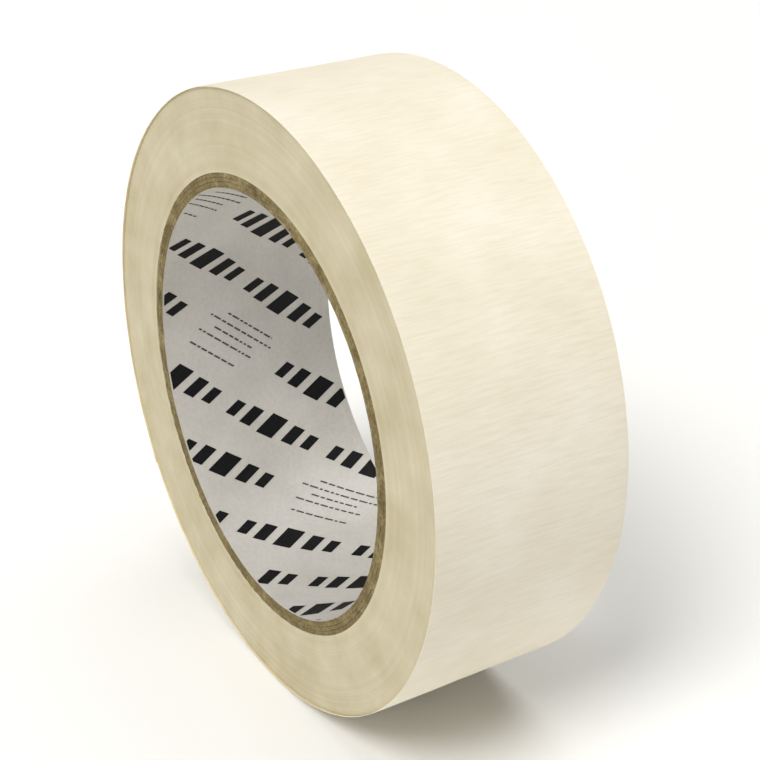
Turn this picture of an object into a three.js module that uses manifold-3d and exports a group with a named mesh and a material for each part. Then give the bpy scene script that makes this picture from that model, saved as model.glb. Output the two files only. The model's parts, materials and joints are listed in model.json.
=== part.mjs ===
// Masking tape roll, standing on its rim.
//
// A spiral-wound paperboard core carries a long web of crepe-paper tape. The roll's axis is Y, +Z is up,
// and the origin is on the floor under the middle of the roll. Lengths are millimetres, angles degrees.
// Angles run from +X towards +Z, round the roll's axis.

import * as THREE from "three";
import { mergeVertices } from "three/addons/utils/BufferGeometryUtils.js";
import Module from "manifold-3d";

const wasm = await Module();
wasm.setup();

// ---- driving dimensions ----

const ROLL_WIDTH = 36;
const ROLL_RADIUS = 55;
const BORE_RADIUS = 38;

const LINER_THICKNESS = 0.25;
const BOARD_THICKNESS = 0.7;
const BOARD_PLY_NAMES = ["core_ply_inner", "core_ply_middle", "core_ply_outer"];
const CORE_RECESS = 0.15;
const GLUE_LINE = 0.05;

const SEAM_WIDTH = 0.4;
const SEAM_LEAD = 110;
const SEAM_STAGGER = 100;
const LINER_SEAM_ANGLE = 30;

const TAPE_THICKNESS = 0.14;
const LAP_PITCH = TAPE_THICKNESS + GLUE_LINE;
const LAP_SHIFT = 0.25;

const FREE_END_ANGLE = 216;
const TAIL_SEGMENTS = 4;
const TAIL_SEGMENT_ANGLE = 12;
const TAIL_GAP = 0.3;

// The circle is drawn with flat facets, one of them facing straight down, so the roll rests without rolling.
const FACETS = 90;
const FACET_ANGLE = 360 / FACETS;
const FLOOR_ANGLE = 270;

// ---- materials ----

const linerPaper = new THREE.MeshStandardMaterial({ color: 0xd9d6cf, roughness: 0.35, metalness: 0 });
const board = new THREE.MeshStandardMaterial({ color: 0x6e6450, roughness: 0.9, metalness: 0 });
const crepePaper = new THREE.MeshStandardMaterial({ color: 0xefe4c8, roughness: 0.8, metalness: 0 });

// ---- the outline of the roll, seen along its axis ----

function polar(radius, angle) {
  const radians = THREE.MathUtils.degToRad(angle);
  return new THREE.Vector2(radius * Math.cos(radians), radius * Math.sin(radians));
}

// Outer radius of the web at an angle, a number of laps below its free end. It shrinks by one pitch a lap.
function spiralRadius(angle, lapsBelow) {
  const turnsBehindEnd = (FREE_END_ANGLE - angle) / 360;
  return ROLL_RADIUS - LAP_PITCH * (turnsBehindEnd + lapsBelow);
}

// A point at an angle on the faceted curve through radiusAt(angle) at the facet corners.
function facetPoint(radiusAt, angle) {
  const before = Math.floor(angle / FACET_ANGLE + 1e-6) * FACET_ANGLE;
  const after = before + FACET_ANGLE;
  const from = polar(radiusAt(before), before);
  const to = polar(radiusAt(after), after);
  return from.lerp(to, (angle - before) / FACET_ANGLE);
}

// The faceted curve between two angles, ends included, in rising order.
function facetCurve(radiusAt, startAngle, endAngle) {
  const points = [facetPoint(radiusAt, startAngle)];
  const firstCorner = Math.floor(startAngle / FACET_ANGLE + 1e-6) + 1;
  for (let corner = firstCorner; corner * FACET_ANGLE < endAngle - 1e-6; corner += 1) {
    const angle = corner * FACET_ANGLE;
    points.push(polar(radiusAt(angle), angle));
  }
  points.push(facetPoint(radiusAt, endAngle));
  return points;
}

function circleOutline(radius) {
  return facetCurve(() => radius, 0, 360).slice(0, -1);
}

// ---- solids ----

// A flat outline in the plane of the roll's face, made as wide as given and centred along the axis.
function extrudeAlongAxis(shape, width) {
  const geometry = new THREE.ExtrudeGeometry(shape, { depth: width, bevelEnabled: false });
  geometry.translate(0, 0, -width / 2);
  geometry.rotateX(Math.PI / 2);
  return geometry;
}

function tubeGeometry(innerRadius, outerRadius, width) {
  const shape = new THREE.Shape(circleOutline(outerRadius));
  shape.holes.push(new THREE.Path(circleOutline(innerRadius)));
  return extrudeAlongAxis(shape, width);
}

function toManifold(geometry) {
  const bare = geometry.clone();
  bare.deleteAttribute("normal");
  bare.deleteAttribute("uv");
  const merged = mergeVertices(bare);
  const mesh = new wasm.Mesh({
    numProp: 3,
    vertProperties: new Float32Array(merged.attributes.position.array),
    triVerts: new Uint32Array(merged.index.array),
  });
  return new wasm.Manifold(mesh);
}

function toGeometry(manifold) {
  const mesh = manifold.getMesh();
  const geometry = new THREE.BufferGeometry();
  geometry.setAttribute("position", new THREE.BufferAttribute(mesh.vertProperties, 3));
  geometry.setIndex(new THREE.BufferAttribute(mesh.triVerts, 1));
  geometry.computeVertexNormals();
  return geometry;
}

// A thin blade across a ply's wall, twisted along the axis: it cuts the helical butt seam of a wound strip.
function seamBlade(innerRadius, outerRadius, middleAngle) {
  const overshoot = 1;
  const steps = 36;
  const height = ROLL_WIDTH + 2 * overshoot;
  const depth = outerRadius - innerRadius + 2 * overshoot;
  const blade = new THREE.BoxGeometry(depth, height, SEAM_WIDTH, 1, steps, 1);
  blade.translate((innerRadius + outerRadius) / 2, 0, 0);
  const position = blade.attributes.position;
  const point = new THREE.Vector3();
  const axis = new THREE.Vector3(0, 1, 0);
  for (let i = 0; i < position.count; i += 1) {
    point.fromBufferAttribute(position, i);
    const turn = 360 * (point.y / SEAM_LEAD) + middleAngle;
    point.applyAxisAngle(axis, -THREE.MathUtils.degToRad(turn));
    position.setXYZ(i, point.x, point.y, point.z);
  }
  return blade;
}

function spiralWoundPly(name, innerRadius, thickness, seamAngle, material) {
  const outerRadius = innerRadius + thickness;
  const tube = toManifold(tubeGeometry(innerRadius, outerRadius, ROLL_WIDTH - 2 * CORE_RECESS));
  const seam = toManifold(seamBlade(innerRadius, outerRadius, seamAngle));
  const ply = new THREE.Mesh(toGeometry(tube.subtract(seam)), material);
  ply.name = name;
  return ply;
}

// ---- the core: a printed paper liner inside board plies, each one a strip wound in a helix ----

function makeCore() {
  const core = new THREE.Group();
  core.add(spiralWoundPly("core_liner", BORE_RADIUS, LINER_THICKNESS, LINER_SEAM_ANGLE, linerPaper));
  let radius = BORE_RADIUS + LINER_THICKNESS + GLUE_LINE;
  BOARD_PLY_NAMES.forEach((name, index) => {
    const seamAngle = LINER_SEAM_ANGLE + SEAM_STAGGER * (index + 1);
    core.add(spiralWoundPly(name, radius, BOARD_THICKNESS, seamAngle, board));
    radius += BOARD_THICKNESS + GLUE_LINE;
  });
  return core;
}

function coreOuterRadius() {
  return BORE_RADIUS + LINER_THICKNESS + BOARD_PLY_NAMES.length * (BOARD_THICKNESS + GLUE_LINE);
}

// ---- the tape ----

// Every lap under the outermost one. Its outside is a spiral with one step, below the free end.
function makeWinding() {
  const outside = facetCurve((angle) => spiralRadius(angle, 1), FREE_END_ANGLE - 360, FREE_END_ANGLE);
  const shape = new THREE.Shape(outside);
  shape.holes.push(new THREE.Path(circleOutline(coreOuterRadius() + GLUE_LINE)));
  const winding = new THREE.Mesh(extrudeAlongAxis(shape, ROLL_WIDTH), crepePaper);
  winding.name = "tape_winding";
  return winding;
}

// One thickness of tape lying on the winding, from one angle to another, less half a gap at each end.
function tapeStrip(name, startAngle, endAngle) {
  const halfGap = THREE.MathUtils.radToDeg(TAIL_GAP / 2 / ROLL_RADIUS);
  const start = startAngle + halfGap;
  const end = endAngle - halfGap;
  const outside = facetCurve((angle) => spiralRadius(angle, 0), start, end);
  const inside = facetCurve((angle) => spiralRadius(angle, 0) - TAPE_THICKNESS, start, end);
  const shape = new THREE.Shape([...outside, ...inside.reverse()]);
  const strip = new THREE.Mesh(extrudeAlongAxis(shape, ROLL_WIDTH), crepePaper);
  strip.position.y = -LAP_SHIFT;
  strip.name = name;
  return strip;
}

// The outermost lap, and the free end cut into short lengths that hinge on each other as it is peeled.
function makeOuterLap() {
  const lap = new THREE.Group();
  const tailStart = FREE_END_ANGLE - TAIL_SEGMENTS * TAIL_SEGMENT_ANGLE;
  lap.add(tapeStrip("tape_last_lap", FREE_END_ANGLE - 360, tailStart));
  for (let index = 0; index < TAIL_SEGMENTS; index += 1) {
    const start = tailStart + index * TAIL_SEGMENT_ANGLE;
    lap.add(tapeStrip(`tape_tail_${index + 1}`, start, start + TAIL_SEGMENT_ANGLE));
  }
  return lap;
}

// ---- assembly ----

// The corner beside the lowest facet that lies deepest is the one nearer the free end along the web.
const restingCorner = FLOOR_ANGLE + FACET_ANGLE / 2 - 360;
const centreHeight = -polar(spiralRadius(restingCorner, 0), restingCorner).y;

const roll = new THREE.Group();
roll.position.z = centreHeight;
roll.add(makeCore(), makeWinding(), makeOuterLap());

const part = new THREE.Group();
part.add(roll);

export default part;
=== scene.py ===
"""Looks of the masking tape roll. Metres and degrees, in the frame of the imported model.

Angles run from +X towards +Z, round the roll's axis, which is parallel to Y.
"""

import json
import math

import bmesh
import bpy
import numpy as np
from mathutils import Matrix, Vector


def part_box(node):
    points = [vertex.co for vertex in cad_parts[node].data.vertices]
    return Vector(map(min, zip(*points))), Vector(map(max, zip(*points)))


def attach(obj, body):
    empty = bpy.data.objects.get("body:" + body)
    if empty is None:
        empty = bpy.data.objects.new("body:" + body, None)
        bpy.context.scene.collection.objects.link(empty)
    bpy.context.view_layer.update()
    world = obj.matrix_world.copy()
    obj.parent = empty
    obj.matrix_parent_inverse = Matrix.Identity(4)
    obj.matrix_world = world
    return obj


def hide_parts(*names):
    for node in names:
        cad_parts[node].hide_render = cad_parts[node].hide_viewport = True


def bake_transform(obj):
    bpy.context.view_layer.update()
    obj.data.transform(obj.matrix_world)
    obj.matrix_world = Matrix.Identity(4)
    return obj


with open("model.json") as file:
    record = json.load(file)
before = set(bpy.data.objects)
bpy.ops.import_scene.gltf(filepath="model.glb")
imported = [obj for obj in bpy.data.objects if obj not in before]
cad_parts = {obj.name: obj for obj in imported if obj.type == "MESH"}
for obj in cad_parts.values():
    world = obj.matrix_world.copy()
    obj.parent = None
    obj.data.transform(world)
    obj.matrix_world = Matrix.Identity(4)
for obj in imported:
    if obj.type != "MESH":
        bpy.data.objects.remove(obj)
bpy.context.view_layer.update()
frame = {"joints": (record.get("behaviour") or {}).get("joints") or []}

# ---- sizes, from the frame where it has them ----

MM = 0.001

core_low, core_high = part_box("core_ply_outer")
winding_low, winding_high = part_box("tape_winding")
lap_low, lap_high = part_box("tape_last_lap")

CENTRE_Z = (core_low.z + core_high.z) / 2
CORE_RADIUS = (core_high.x - core_low.x) / 2
CORE_HALF_WIDTH = (core_high.y - core_low.y) / 2
HALF_WIDTH = (winding_high.y - winding_low.y) / 2
LAP_SHIFT = (lap_high.y + lap_low.y) / 2

ROLL_RADIUS = 55 * MM
BORE_RADIUS = 38 * MM
LINER_THICKNESS = 0.25 * MM
BOARD_THICKNESS = 0.7 * MM
TAPE_THICKNESS = 0.14 * MM
LAP_PITCH = 0.19 * MM
GLUE_LINE = 0.05 * MM

# A point of a section is on the rim if it is farther out than this share of the half width.
RIM_SHARE = 0.999
# Edges that turn by more than this are drawn sharp.
SHARP_ANGLE = 38
# A face looks along a direction if the cosine of the angle between the two is over this.
FACING = 0.5


def angle_of(point):
    return math.degrees(math.atan2(point[2] - CENTRE_Z, point[0])) % 360


hinges = frame["joints"]
hinge_angles = [angle_of(joint["pos_m"]) for joint in hinges]
SEGMENT_ANGLE = hinge_angles[1] - hinge_angles[0]
PEEL_ANGLE = hinge_angles[0]
FREE_END_ANGLE = hinge_angles[-1] + SEGMENT_ANGLE

# ---- points on the roll ----


def on_roll(radius, degrees, y):
    """Points at a radius, an angle and a place along the axis. The three may be arrays of one shape."""
    turn = np.radians(degrees)
    x = radius * np.cos(turn)
    z = CENTRE_Z + radius * np.sin(turn)
    return np.stack(np.broadcast_arrays(x, y, z), axis=-1)


def web_radius(degrees, laps_below):
    """Outer radius of the web, a number of laps below its free end."""
    turns_behind_end = (FREE_END_ANGLE - degrees) / 360
    return ROLL_RADIUS - LAP_PITCH * (turns_behind_end + laps_below)


def smoothstep(low, high, value):
    t = np.clip((value - low) / (high - low), 0, 1)
    return t * t * (3 - 2 * t)


# ---- repeatable unevenness ----


NOISE_ROWS = 64
NOISE_FIRST_ROW = 4


class RollNoise:
    """Smooth random numbers from -1 to 1 round the roll and along its axis. They repeat after a turn."""

    def __init__(self, seed, step, length_y):
        self.step = step
        self.length_y = length_y
        table = np.random.default_rng(seed).uniform(-1, 1, (round(360 / step), NOISE_ROWS))
        table = (np.roll(table, 1, 0) + 2 * table + np.roll(table, -1, 0)) / 4
        self.table = table / np.abs(table).max()

    def __call__(self, degrees, y):
        columns, rows = self.table.shape
        column = np.asarray(degrees) % 360 / self.step
        row = (np.asarray(y) + HALF_WIDTH) / self.length_y + NOISE_FIRST_ROW
        whole_column = np.floor(column).astype(int)
        whole_row = np.floor(row).astype(int)
        column_share = smoothstep(0, 1, column - whole_column)
        row_share = smoothstep(0, 1, row - whole_row)
        left = whole_column % columns
        right = (whole_column + 1) % columns
        near = whole_row % rows
        far = (whole_row + 1) % rows
        near_value = self.table[left, near] * (1 - column_share) + self.table[right, near] * column_share
        far_value = self.table[left, far] * (1 - column_share) + self.table[right, far] * column_share
        return near_value * (1 - row_share) + far_value * row_share


CREPE_STEP = 0.3
crepe_ridges = RollNoise(seed=3, step=CREPE_STEP, length_y=5 * MM)
crepe_lumps = RollNoise(seed=5, step=5, length_y=9 * MM)
edge_waver = RollNoise(seed=8, step=9, length_y=60 * MM)
edge_fray = RollNoise(seed=9, step=0.6, length_y=60 * MM)
face_waver = RollNoise(seed=12, step=12, length_y=2 * MM)
RIDGE_HEIGHT = 0.032 * MM
LUMP_HEIGHT = 0.07 * MM
EDGE_WAVER = 0.1 * MM
EDGE_FRAY = 0.02 * MM


def crepe_height(degrees, y):
    return RIDGE_HEIGHT * crepe_ridges(degrees, y) + LUMP_HEIGHT * crepe_lumps(degrees, y)


# ---- meshes ----


def sweep(name, points, material, closed=False):
    """A closed body. points[i, j] is point j of the section at step i. An open sweep gets end caps."""
    steps, section = points.shape[:2]
    faces = []
    for i in range(steps if closed else steps - 1):
        here = i * section
        after = (i + 1) % steps * section
        for j in range(section):
            k = (j + 1) % section
            faces.append((here + j, here + k, after + k, after + j))
    if not closed:
        faces.append(tuple(reversed(range(section))))
        faces.append(tuple(range((steps - 1) * section, steps * section)))
    mesh = bpy.data.meshes.new(name)
    mesh.from_pydata(points.reshape(-1, 3).tolist(), [], faces)
    mesh.materials.append(material)
    piece = bpy.data.objects.new(name, mesh)
    bpy.context.scene.collection.objects.link(piece)
    finish_mesh(mesh)
    return piece


def finish_mesh(mesh):
    work = bmesh.new()
    work.from_mesh(mesh)
    bmesh.ops.recalc_face_normals(work, faces=work.faces)
    work.to_mesh(mesh)
    work.free()
    mesh.shade_smooth()
    mesh.set_sharp_from_angle(angle=math.radians(SHARP_ANGLE))


# ---- materials ----


def new_material(name, roughness, specular=0.5):
    material = bpy.data.materials.new(name)
    material.use_nodes = True
    shader = material.node_tree.nodes["Principled BSDF"]
    shader.inputs["Roughness"].default_value = roughness
    shader.inputs["Specular IOR Level"].default_value = specular
    return material, shader


def add_node(material, kind, values=None, **settings):
    node = material.node_tree.nodes.new(kind)
    for key, value in settings.items():
        setattr(node, key, value)
    for key, value in (values or {}).items():
        if isinstance(value, bpy.types.NodeSocket):
            material.node_tree.links.new(value, node.inputs[key])
        else:
            node.inputs[key].default_value = value
    return node


def place(material, stretch=(1, 1, 1)):
    """The point's place in the frame, from the middle of the roll, stretched."""
    here = add_node(material, "ShaderNodeTexCoord").outputs["Object"]
    centre = (0, 0, CENTRE_Z)
    centred = add_node(material, "ShaderNodeVectorMath", {0: here, 1: centre}, operation="SUBTRACT")
    values = {0: centred.outputs[0], 1: stretch}
    stretched = add_node(material, "ShaderNodeVectorMath", values, operation="MULTIPLY")
    return stretched.outputs[0]


def noise(material, vector, scale, detail=2.0, roughness=0.5):
    values = {"Vector": vector, "Scale": scale, "Detail": detail, "Roughness": roughness}
    return add_node(material, "ShaderNodeTexNoise", values).outputs["Fac"]


def ramp(material, factor, stops):
    """A colour ramp of (position, colour) stops."""
    node = add_node(material, "ShaderNodeValToRGB", {"Fac": factor})
    elements = node.color_ramp.elements
    for element, (position, colour) in zip(elements, (stops[0], stops[-1])):
        element.position = position
        element.color = (*colour, 1)
    for position, colour in stops[1:-1]:
        elements.new(position).color = (*colour, 1)
    return node.outputs["Color"]


def mix(material, factor, a, b, blend_type="MIX"):
    """A mix of two colours. The node keeps its colour sockets at 6 and 7, and its colour result at 2."""
    node = add_node(material, "ShaderNodeMix", data_type="RGBA", blend_type=blend_type)
    links = material.node_tree.links
    for socket, value in ((node.inputs[0], factor), (node.inputs[6], a), (node.inputs[7], b)):
        if isinstance(value, bpy.types.NodeSocket):
            links.new(value, socket)
        elif isinstance(value, tuple):
            socket.default_value = (*value, 1)
        else:
            socket.default_value = value
    return node.outputs[2]


def bump(material, shader, height, strength, distance):
    values = {"Height": height, "Strength": strength, "Distance": distance}
    node = add_node(material, "ShaderNodeBump", values)
    material.node_tree.links.new(node.outputs["Normal"], shader.inputs["Normal"])


def paint(material, shader, colour):
    material.node_tree.links.new(colour, shader.inputs["Base Color"])


# The sRGB curve is straight up to its knee and a power above it.
CURVE_KNEE = 0.04045
CURVE_SLOPE = 12.92
CURVE_OFFSET = 0.055
CURVE_POWER = 2.4


def linear(level):
    """One level of an sRGB colour, 0 to 255, as the linear number that shaders use."""
    share = level / 255
    if share <= CURVE_KNEE:
        return share / CURVE_SLOPE
    return ((share + CURVE_OFFSET) / (1 + CURVE_OFFSET)) ** CURVE_POWER


def srgb(red, green, blue):
    return (linear(red), linear(green), linear(blue))


WHITE = (1, 1, 1)


def crepe_paper():
    """Cream paper with fine creases across the tape, along the roll's axis."""
    material, shader = new_material("crepe_paper", roughness=0.72, specular=0.3)
    creases = noise(material, place(material, (1, 0.08, 1)), scale=2600, detail=3)
    fibres = noise(material, place(material), scale=1400, detail=4)
    patches = noise(material, place(material), scale=60, detail=3)
    tint = ramp(
        material,
        patches,
        [(0.3, srgb(233, 225, 205)), (0.55, srgb(238, 231, 213)), (0.75, srgb(242, 236, 221))],
    )
    shade = ramp(material, creases, [(0.3, srgb(232, 224, 210)), (0.6, WHITE)])
    colour = mix(material, 0.24, tint, shade, "MULTIPLY")
    paint(material, shader, colour)
    height = mix(material, 0.3, creases, fibres)
    bump(material, shader, height, strength=0.4, distance=0.1 * MM)
    return material


RING_WAVER = 0.4 * MM


def tape_edges():
    """The side of the roll: the cut edges of about a hundred laps, as fine rings."""
    material, shader = new_material("tape_edges", roughness=0.85, specular=0.2)
    middle = place(material, (1, 0, 1))
    radius = add_node(material, "ShaderNodeVectorMath", {0: middle}, operation="LENGTH").outputs["Value"]
    waver = noise(material, place(material), scale=45, detail=2)
    values = {0: waver, 1: RING_WAVER, 2: radius}
    wavered = add_node(material, "ShaderNodeMath", values, operation="MULTIPLY_ADD").outputs[0]
    on_line = add_node(material, "ShaderNodeCombineXYZ", {"X": wavered}).outputs[0]
    fine_rings = noise(material, on_line, scale=6500, detail=1)
    broad_rings = noise(material, on_line, scale=700, detail=2)
    blotches = noise(material, place(material), scale=140, detail=4)
    grain = noise(material, place(material), scale=2200, detail=3)
    tint = ramp(
        material,
        blotches,
        [(0.3, srgb(198, 188, 157)), (0.5, srgb(206, 197, 169)), (0.72, srgb(213, 205, 179))],
    )
    rings = ramp(material, broad_rings, [(0.35, srgb(226, 218, 196)), (0.62, WHITE)])
    lines = ramp(material, fine_rings, [(0.3, srgb(222, 214, 192)), (0.6, WHITE)])
    colour = mix(material, 0.22, tint, rings, "MULTIPLY")
    colour = mix(material, 0.3, colour, lines, "MULTIPLY")
    paint(material, shader, colour)
    height = mix(material, 0.45, fine_rings, grain)
    bump(material, shader, height, strength=0.5, distance=0.1 * MM)
    return material


def adhesive():
    """The sticky underside of the tape: yellower, smoother and a little shiny."""
    material, shader = new_material("adhesive", roughness=0.38, specular=0.45)
    patches = noise(material, place(material), scale=220, detail=3)
    tint = ramp(material, patches, [(0.35, srgb(217, 202, 161)), (0.7, srgb(229, 216, 180))])
    paint(material, shader, tint)
    creases = noise(material, place(material, (1, 0.1, 1)), scale=2200, detail=2)
    bump(material, shader, creases, strength=0.35, distance=0.08 * MM)
    return material


def core_board():
    """Grey-brown paperboard, rough and unevenly coloured."""
    material, shader = new_material("core_board", roughness=0.92, specular=0.15)
    fibres = noise(material, place(material), scale=1700, detail=5, roughness=0.65)
    clumps = noise(material, place(material), scale=300, detail=3)
    tint = ramp(
        material,
        clumps,
        [(0.3, srgb(124, 110, 75)), (0.55, srgb(148, 134, 95)), (0.75, srgb(170, 156, 115))],
    )
    speckle = ramp(material, fibres, [(0.35, srgb(170, 160, 140)), (0.65, WHITE)])
    colour = mix(material, 0.7, tint, speckle, "MULTIPLY")
    paint(material, shader, colour)
    bump(material, shader, fibres, strength=0.8, distance=0.15 * MM)
    return material


def liner_paper():
    """White coated paper, lightly glossy."""
    material, shader = new_material("liner_paper", roughness=0.36, specular=0.5)
    patches = noise(material, place(material), scale=90, detail=3)
    grain = noise(material, place(material), scale=1500, detail=3)
    tint = ramp(material, patches, [(0.3, srgb(198, 194, 187)), (0.7, srgb(210, 207, 201))])
    speckle = ramp(material, grain, [(0.3, srgb(238, 237, 235)), (0.6, WHITE)])
    colour = mix(material, 0.5, tint, speckle, "MULTIPLY")
    paint(material, shader, colour)
    bump(material, shader, grain, strength=0.2, distance=0.05 * MM)
    return material


def ink(name, darkest, lightest):
    material, shader = new_material(name, roughness=0.6, specular=0.2)
    patches = noise(material, place(material), scale=2500, detail=2)
    tint = ramp(material, patches, [(0.35, srgb(*darkest)), (0.7, srgb(*lightest))])
    paint(material, shader, tint)
    return material


def floor_paint():
    material, shader = new_material("floor_paint", roughness=0.9, specular=0.1)
    tone = noise(material, place(material), scale=3, detail=2)
    tint = ramp(material, tone, [(0.3, srgb(244, 244, 243)), (0.7, srgb(247, 247, 246))])
    paint(material, shader, tint)
    return material


crepe = crepe_paper()
edges = tape_edges()
sticky = adhesive()
board = core_board()
liner = liner_paper()

# ---- the core ----

SEAM_LEAD = 110 * MM
SEAM_GAP_ANGLE = 0.6
LINER_SEAM_ANGLE = 30
SEAM_STAGGER = 100
PLY_STEPS = 330
LINER_ROWS = 145
BOARD_ROWS = 49
LINER_FRAY = 0.04 * MM
BOARD_FRAY = 0.12 * MM
BURR_HEIGHT = 0.16 * MM
BURR_START = 15.6 * MM
BURR_SLOPE = 1 * MM
# How far the pattern of roughness turns for each millimetre of radius, so that the plies differ.
FRAY_SHIFT = 40


def liner_radius(y):
    """The knife that cut the roll to width has pushed the liner's far rim in a little."""
    return BORE_RADIUS - BURR_HEIGHT * smoothstep(BURR_START, BURR_START + BURR_SLOPE, y)


def straight_bore(radius):
    return lambda y: radius


def ply(name, inner, thickness, seam_angle, material, rows, fray):
    """One strip wound in a helix, its two long edges meeting at a seam. Its cut ends are a little rough.

    inner is the radius of its inside, which may differ from place to place along the axis.
    """
    turns = np.linspace(SEAM_GAP_ANGLE / 2, 360 - SEAM_GAP_ANGLE / 2, PLY_STEPS)
    along = np.linspace(-1, 1, rows)
    section_y = np.concatenate([along, along[::-1]]) * CORE_HALF_WIDTH
    outside = np.repeat([0, 1], rows)
    radii = inner(section_y) * (1 - outside) + (inner(0) + thickness) * outside
    degrees = seam_angle + 360 * section_y[None, :] / SEAM_LEAD + turns[:, None]
    end = np.abs(section_y) > CORE_HALF_WIDTH * RIM_SHARE
    roughness = fray * edge_fray(degrees + FRAY_SHIFT * radii[None, :] / MM, section_y[None, :])
    y = section_y[None, :] + np.where(end, np.sign(section_y), 0) * roughness
    return sweep(name, on_roll(radii[None, :], degrees, y), material)


def make_core():
    """The liner and the plies of board. The liner's cut ends show that its paper is brown inside."""
    paper = ply(
        "core_liner_paper", liner_radius, LINER_THICKNESS, LINER_SEAM_ANGLE, liner, LINER_ROWS, LINER_FRAY
    )
    paper.data.materials.append(board)
    for face in paper.data.polygons:
        if abs(face.normal.y) > FACING:
            face.material_index = 1
    pieces = {"core_liner": paper}
    radius = BORE_RADIUS + LINER_THICKNESS + GLUE_LINE
    for index, node in enumerate(("core_ply_inner", "core_ply_middle", "core_ply_outer")):
        seam_angle = LINER_SEAM_ANGLE + SEAM_STAGGER * (index + 1)
        name = node.replace("ply", "board")
        bore = straight_bore(radius)
        pieces[node] = ply(name, bore, BOARD_THICKNESS, seam_angle, board, BOARD_ROWS, BOARD_FRAY)
        radius += BOARD_THICKNESS + GLUE_LINE
    for node, piece in pieces.items():
        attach(piece, "roll")
        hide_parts(node)


# ---- the tape ----

FACE_RINGS = 72
FACE_RELIEF = 0.045 * MM
FACE_RECESS = 0.1 * MM
FACE_WAVER_SHARE = 0.8
FACE_WAVER_LENGTH = 30 * MM
WALL_POINTS = 12


def make_winding():
    """All the laps under the outermost one. Its two sides rise and fall a little from lap to lap."""
    inner = CORE_RADIUS + GLUE_LINE
    degrees = np.arange(0, 360, 1.0)[:, None]
    share = np.linspace(0, 1, FACE_RINGS)
    outer = web_radius((degrees - FREE_END_ANGLE) % 360 + FREE_END_ANGLE - 360, 1)
    bore = np.full_like(outer, inner)
    lap_offset = np.random.default_rng(21).uniform(-1, 1, FACE_RINGS)
    lap_offset = np.convolve(np.pad(lap_offset, 1, mode="edge"), [0.25, 0.5, 0.25], "valid")
    across_wall = np.linspace(-1, 1, WALL_POINTS + 2)[1:-1]
    wall_shape = (len(degrees), WALL_POINTS)
    radii = []
    places = []
    for side, wall_radius in ((-1, outer), (1, bore)):
        ring = share[::-side]
        offset = lap_offset[::-side]
        waver = FACE_WAVER_SHARE * face_waver(degrees, ring[None, :] * FACE_WAVER_LENGTH)
        relief = FACE_RELIEF * (offset[None, :] + waver)
        radii.append(inner + ring[None, :] * (outer - inner))
        places.append(side * (HALF_WIDTH - FACE_RECESS + relief))
        radii.append(np.broadcast_to(wall_radius, wall_shape))
        places.append(np.broadcast_to(across_wall[None, ::-side] * HALF_WIDTH, wall_shape))
    radii = np.concatenate(radii, axis=1)
    y = np.concatenate(places, axis=1)
    winding = sweep("tape_wound_laps", on_roll(radii, degrees, y), edges, closed=True)
    winding.data.materials.append(crepe)
    for face in winding.data.polygons:
        if abs(face.normal.y) < FACING:
            face.material_index = 1
    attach(winding, "roll")
    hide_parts("tape_winding")


POINTS_ACROSS = 37
POINTS_UNDER = 13
RIM_DROP = 0.05 * MM


def web_strip(name, start, end, lift=None):
    """A length of the outermost lap. lift, if given, says how far each place stands off the roll."""
    steps = np.arange(round(start / CREPE_STEP), round(end / CREPE_STEP) + 1)
    degrees = steps[:, None] * CREPE_STEP
    across = np.linspace(-1, 1, POINTS_ACROSS)
    under = np.linspace(1, -1, POINTS_UNDER)
    section = np.concatenate([across, under])
    y = section[None, :] * HALF_WIDTH + LAP_SHIFT
    rim = np.abs(section) > RIM_SHARE
    waver = EDGE_WAVER * edge_waver(degrees, 0) + EDGE_FRAY * edge_fray(degrees, 0)
    y = y + np.where(rim, waver, 0)
    outside = np.concatenate([np.ones(POINTS_ACROSS), np.zeros(POINTS_UNDER)])[None, :]
    outer = web_radius(degrees, 0) + crepe_height(degrees, y) * outside - RIM_DROP * outside * rim
    radius = outer - TAPE_THICKNESS * (1 - outside)
    if lift is not None:
        radius = radius + lift(degrees, y)
    strip = sweep(name, on_roll(radius, degrees, y), crepe)
    strip.data.materials.append(sticky)
    paint_underside(strip.data)
    return strip


def paint_underside(mesh):
    """Give the faces that look towards the roll's axis the second material."""
    centre = Vector((0, 0, CENTRE_Z))
    for face in mesh.polygons:
        outward = face.center - centre
        outward.y = 0
        if face.normal.dot(outward.normalized()) < -FACING:
            face.material_index = 1


def make_last_lap():
    lap = web_strip("tape_outer_lap", FREE_END_ANGLE - 360, PEEL_ANGLE)
    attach(lap, "roll")
    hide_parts("tape_last_lap")


END_LIFT = 0.7 * MM
END_LIFT_ANGLE = 5
NEAR_CORNER_SHARE = 0.35


def free_end_lift(degrees, y):
    """The last few millimetres of the free end stand off the roll, more so at the far corner."""
    near_end = smoothstep(FREE_END_ANGLE - END_LIFT_ANGLE, FREE_END_ANGLE, degrees)
    far_share = smoothstep(-HALF_WIDTH, HALF_WIDTH, y)
    corner = NEAR_CORNER_SHARE + (1 - NEAR_CORNER_SHARE) * far_share
    return END_LIFT * near_end * corner


def make_tail():
    """The free end, cut at the middle of its segments, into one length for each hinge."""
    cuts = [PEEL_ANGLE]
    cuts += [angle + SEGMENT_ANGLE / 2 for angle in hinge_angles[:-1]]
    cuts.append(FREE_END_ANGLE)
    bend_angle = SEGMENT_ANGLE / 2
    for index, joint in enumerate(hinges):
        lift = free_end_lift if index == len(hinges) - 1 else None
        piece = web_strip(f"tape_free_end_{index + 1}", cuts[index], cuts[index + 1], lift)
        hinge = hinge_angles[index]
        bend_from = hinge if index == 0 else hinge - bend_angle / 2
        on_roll(ROLL_RADIUS, bend_from, 0).tolist()
        on_roll(ROLL_RADIUS, bend_from + bend_angle, 0).tolist()
        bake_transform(piece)
        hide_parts(f"tape_tail_{index + 1}")


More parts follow.
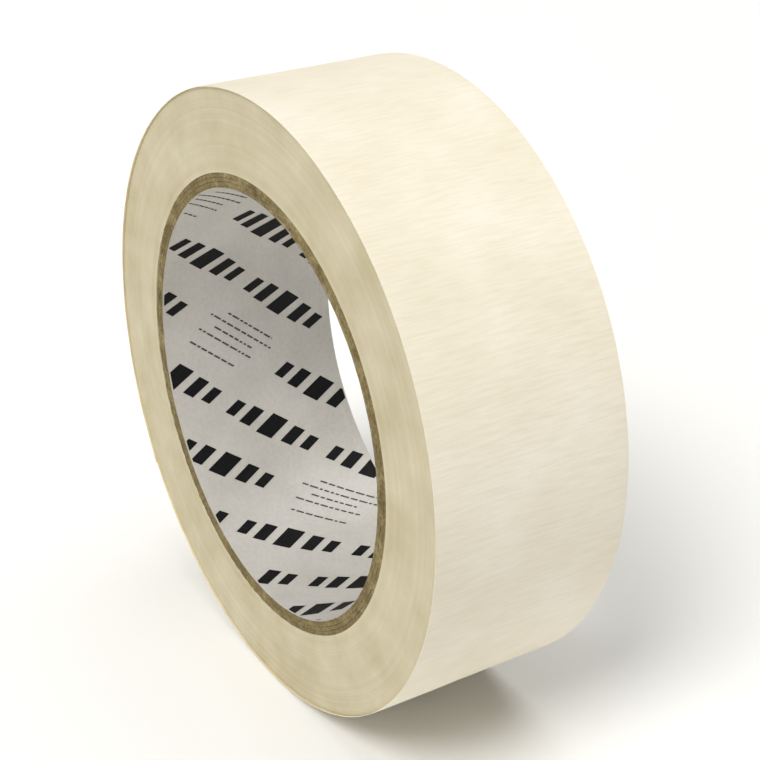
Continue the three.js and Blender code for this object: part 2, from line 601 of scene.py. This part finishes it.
# ---- the print on the liner: slanted bars and rows of dashes, which spell nothing ----

INK_HEIGHT = 0.02 * MM
INK_CLEARANCE = 0.012 * MM
INK_MARGIN = 0.3 * MM
INK_SCORE = 1.2 * MM
INK_LEAST_SHARE = 0.3
PRINT_ANGLE = 50
PRINT_START = (81.7 * MM, 2.8 * MM)
ROW_PITCH = 11.3 * MM
COLUMN_PITCH = 22 * MM
ROW_SHIFT = -6.2 * MM
SLANT = 0.42
# Bars of one mark, in millimetres from its middle: place along the row, width and height.
MARK_BARS = [
    (-8.2, 1.9, 3.4),
    (-4.6, 2.3, 4.2),
    (0.0, 3.4, 5.0),
    (4.6, 2.3, 4.2),
    (8.2, 1.9, 3.4),
]
# Rows of dashes, in millimetres from the block's middle: start and end along the row, and foot.
DASH_ROWS = [
    (-5.0, 6.5, 4.0),
    (-7.5, 8.0, 2.2),
    (-4.5, 5.0, 0.4),
    (-6.5, 6.5, -1.4),
    (-5.5, 5.5, -4.4),
]
DASH_HEIGHT = 0.36
DASH_GAP = 0.35
SHORTEST_DASH = 0.5
LONGEST_DASH = 1.8
BURR_CUTS = 6
PRINT_SEED = 5050
# More than enough rows and columns to cover the liner. Marks that miss it are dropped.
PRINT_ROWS = range(-12, 22)
PRINT_COLUMNS = range(-12, 18)


def parallelogram(start, end, foot, top):
    """Corners of a bar that leans forwards, in metres along and across its row."""
    corners = ((start, foot), (end, foot), (end, top), (start, top))
    return [((along + SLANT * across) * MM, across * MM) for along, across in corners]


def mark_outlines():
    return [
        parallelogram(middle - width / 2, middle + width / 2, -height / 2, height / 2)
        for middle, width, height in MARK_BARS
    ]


def dash_outlines(seed):
    """Short dashes of uneven length in rows, like lines of very small print."""
    random = np.random.default_rng(seed)
    outlines = []
    for start, end, foot in DASH_ROWS:
        along = start
        while along < end:
            length = random.uniform(SHORTEST_DASH, LONGEST_DASH)
            dash_end = min(along + length, end)
            outlines.append(parallelogram(along, dash_end, foot, foot + DASH_HEIGHT))
            along += length + DASH_GAP
    return outlines


def print_layout():
    """The outlines of every bar and dash, as (distance round the bore, place along the axis)."""
    turn = math.radians(PRINT_ANGLE)
    along_row = np.array([math.cos(turn), math.sin(turn)])
    next_row = np.array([math.sin(turn), -math.cos(turn)])
    bars = []
    dashes = []
    for row in PRINT_ROWS:
        for column in PRINT_COLUMNS:
            shift = column * COLUMN_PITCH + row * ROW_SHIFT
            origin = np.array(PRINT_START) + row * ROW_PITCH * next_row + shift * along_row
            if abs(origin[1]) > HALF_WIDTH + COLUMN_PITCH:
                continue
            if row % 2 == 0 and (column - row) % 3 == 2:
                outlines = dash_outlines(PRINT_SEED + 100 * row + column)
                layer = dashes
            else:
                outlines = mark_outlines()
                layer = bars
            for outline in outlines:
                layer.append([origin + a * along_row - b * next_row for a, b in outline])
    return bars, dashes


def cut_away(part, point, direction):
    """Remove what lies beyond a line through a point, on the side that the direction faces."""
    geometry = part.verts[:] + part.edges[:] + part.faces[:]
    bmesh.ops.bisect_plane(part, geom=geometry, plane_co=point, plane_no=direction, clear_outer=True)


def score(part, point, direction):
    geometry = part.verts[:] + part.edges[:] + part.faces[:]
    bmesh.ops.bisect_plane(part, geom=geometry, plane_co=point, plane_no=direction)


def ink_body(outline):
    """One outline as a thin flat body, cut to the liner and scored so that it can bend.

    Where the cuts leave only a scrap, there is no body.
    """
    part = bmesh.new()
    whole = part.faces.new([part.verts.new((*corner, 0)) for corner in outline])
    least_area = INK_LEAST_SHARE * whole.calc_area()
    limit = CORE_HALF_WIDTH - INK_MARGIN
    circumference = 2 * math.pi * BORE_RADIUS
    seam_slope = circumference / SEAM_LEAD
    cut_away(part, (0, limit, 0), (0, 1, 0))
    cut_away(part, (0, -limit, 0), (0, -1, 0))
    cut_away(part, (INK_MARGIN, 0, 0), (-1, seam_slope, 0))
    cut_away(part, (circumference - INK_MARGIN, 0, 0), (1, -seam_slope, 0))
    if sum(face.calc_area() for face in part.faces) < least_area:
        part.free()
        return None
    low = min(v.co.x for v in part.verts)
    high = max(v.co.x for v in part.verts)
    for cut in np.arange(low + INK_SCORE, high, INK_SCORE):
        score(part, (cut, 0, 0), (1, 0, 0))
    for cut in np.linspace(BURR_START, BURR_START + BURR_SLOPE, BURR_CUTS):
        score(part, (0, cut, 0), (0, 1, 0))
    raised = bmesh.ops.extrude_face_region(part, geom=part.faces[:])
    for item in raised["geom"]:
        if isinstance(item, bmesh.types.BMVert):
            item.co.z = INK_HEIGHT
    return part


def printed(name, outlines, material):
    """All the ink of one colour, bent round the bore."""
    flat = bpy.data.meshes.new(name)
    work = bmesh.new()
    for outline in outlines:
        part = ink_body(outline)
        if part is not None:
            part.to_mesh(flat)
            part.free()
            work.from_mesh(flat)
    for v in work.verts:
        degrees = LINER_SEAM_ANGLE + math.degrees(v.co.x / BORE_RADIUS)
        v.co = on_roll(liner_radius(v.co.y) - INK_CLEARANCE - v.co.z, degrees, v.co.y)
    bmesh.ops.recalc_face_normals(work, faces=work.faces)
    work.to_mesh(flat)
    work.free()
    flat.materials.append(material)
    piece = bpy.data.objects.new(name, flat)
    bpy.context.scene.collection.objects.link(piece)
    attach(piece, "roll")


def make_print():
    bars, dashes = print_layout()
    printed("liner_print_bars", bars, ink("ink_black", (10, 10, 12), (22, 22, 24)))
    printed("liner_print_dashes", dashes, ink("ink_grey", (70, 70, 74), (96, 96, 100)))


# ---- floor, light and camera ----

FLOOR_SIZE = 12
FLOOR_DROP = 0.0002
CAMERA_AZIMUTH = 58
CAMERA_ELEVATION = 27
CAMERA_DISTANCE = 0.3
CAMERA_LENS = 80.8
CAMERA_SIDESTEP = (0.0054, 0.0004)
CAMERA_CLIP_START = 0.01
# Sines of the elevations where the studio's white walls end and its dim ceiling begins.
WALL_TOP = 0.165
CEILING_EDGE = 0.21
WALL_COLOUR = (0.97, 0.97, 0.95)
CEILING_COLOUR = (0.04, 0.04, 0.04)


def make_floor():
    mesh = bpy.data.meshes.new("floor")
    half = FLOOR_SIZE / 2
    corners = [(-half, -half, 0), (half, -half, 0), (half, half, 0), (-half, half, 0)]
    mesh.from_pydata(corners, [], [(0, 1, 2, 3)])
    mesh.materials.append(floor_paint())
    floor = bpy.data.objects.new("floor", mesh)
    bpy.context.scene.collection.objects.link(floor)
    floor.location.z = -FLOOR_DROP


def soft_light(name, azimuth, elevation, spread, power, colour):
    """A light as even as a large softbox far away, as wide in the sky as its spread in degrees."""
    data = bpy.data.lights.new(name, "SUN")
    data.angle = math.radians(spread)
    data.energy = power
    data.color = colour
    light = bpy.data.objects.new(name, data)
    bpy.context.scene.collection.objects.link(light)
    light.location = direction_to(azimuth, elevation)
    light.rotation_euler = light.location.to_track_quat("Z", "Y").to_euler()


def direction_to(azimuth, elevation):
    """Unit vector from the roll towards a viewer. Azimuth 0 is at -Y and 90 at +X."""
    turn = math.radians(azimuth)
    rise = math.radians(elevation)
    level = math.cos(rise)
    return Vector((math.sin(turn) * level, -math.cos(turn) * level, math.sin(rise)))


def make_lights():
    warm_white = (1, 0.985, 0.95)
    soft_light("overhead", azimuth=180, elevation=82, spread=50, power=1.6, colour=warm_white)
    soft_light("front", azimuth=22, elevation=54, spread=28, power=2.22, colour=(1, 0.99, 0.97))
    make_world()
    bpy.context.scene.view_settings.view_transform = "Standard"


def make_world():
    """White walls round the horizon under a dim ceiling, so that the lights above give the shading."""
    world = bpy.data.worlds.new("studio")
    world.use_nodes = True
    direction = add_node(world, "ShaderNodeTexCoord").outputs["Generated"]
    height = add_node(world, "ShaderNodeSeparateXYZ", {0: direction}).outputs["Z"]
    slope = add_node(world, "ShaderNodeMath", {0: height}, operation="ABSOLUTE").outputs[0]
    walls = ramp(world, slope, [(WALL_TOP, WALL_COLOUR), (CEILING_EDGE, CEILING_COLOUR)])
    background = world.node_tree.nodes["Background"]
    world.node_tree.links.new(walls, background.inputs["Color"])
    bpy.context.scene.world = world


def make_camera():
    data = bpy.data.cameras.new("camera")
    data.lens = CAMERA_LENS
    camera = bpy.data.objects.new("camera", data)
    bpy.context.scene.collection.objects.link(camera)
    back = direction_to(CAMERA_AZIMUTH, CAMERA_ELEVATION)
    rotation = back.to_track_quat("Z", "Y")
    sidestep = rotation @ Vector((*CAMERA_SIDESTEP, 0))
    camera.location = Vector((0, 0, CENTRE_Z)) + back * CAMERA_DISTANCE + sidestep
    camera.rotation_euler = rotation.to_euler()
    data.clip_start = CAMERA_CLIP_START
    bpy.context.scene.camera = camera


make_camera()
make_lights()
make_floor()
make_core()
make_print()
make_winding()
make_last_lap()
make_tail()
